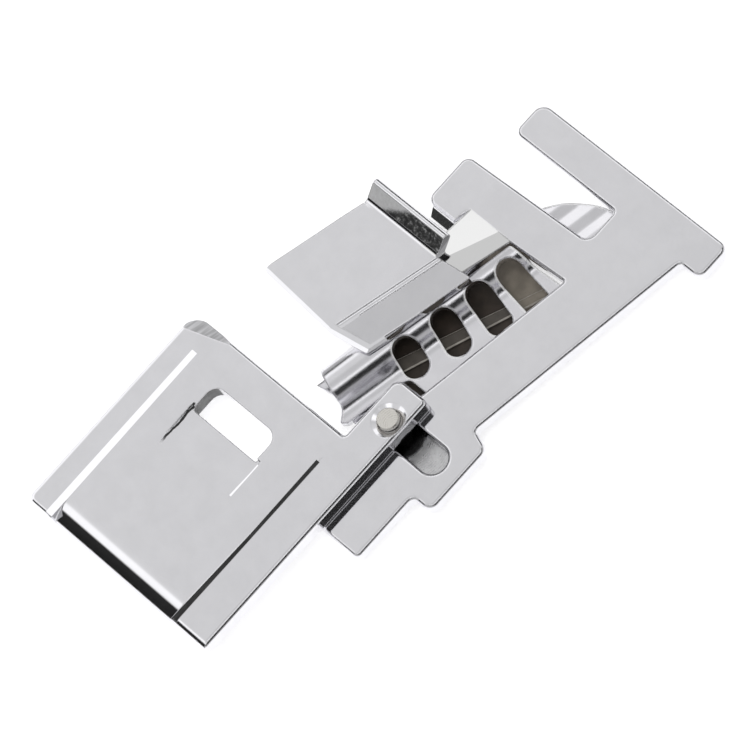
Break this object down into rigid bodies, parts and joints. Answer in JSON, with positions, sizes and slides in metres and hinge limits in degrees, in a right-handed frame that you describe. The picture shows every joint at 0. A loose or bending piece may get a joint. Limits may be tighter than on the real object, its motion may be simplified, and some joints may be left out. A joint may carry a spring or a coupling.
{
  "type": "sewing machine presser foot with tape binder scroll",
  "caption": "Chrome presser foot with a folding scroll that wraps bias tape round a fabric edge, and a needle sole plate that slides and swivels on a rivet.",
  "frame": {"origin": "in the open fork slot of the head, midway between its sides, on the plate's underside", "axes": "+X across the foot towards the tee end of the head, +Y from the sole plate towards the head, +Z out of the plate's top as the picture shows it"},
  "size_m": [0.0342, 0.056, 0.0065],
  "materials": {
    "plate_chrome": "bright chrome plating",
    "scroll_chrome": "bright chrome plating on bent sheet",
    "sole_chrome": "bright chrome plating, polished sole",
    "rivet_steel": "turned steel, satin"
  },
  "bodies": {
    "base": {"base_plate": "plate_chrome", "tape_scroll": "scroll_chrome"},
    "rivet": {"pivot_rivet": "rivet_steel"},
    "sole": {"sole_plate": "sole_chrome"}
  },
  "joints": [
    {"name": "rivet_slide", "type": "slide", "parent": "base", "child": "rivet", "axis": [1, 0, 0], "range_m": [0, 0.0048]},
    {"name": "sole_swivel", "type": "hinge", "parent": "rivet", "child": "sole", "pos_m": [-0.00002, -0.02499, 0], "axis": [0, 0, 1], "range_deg": [-8, 90]}
  ]
}
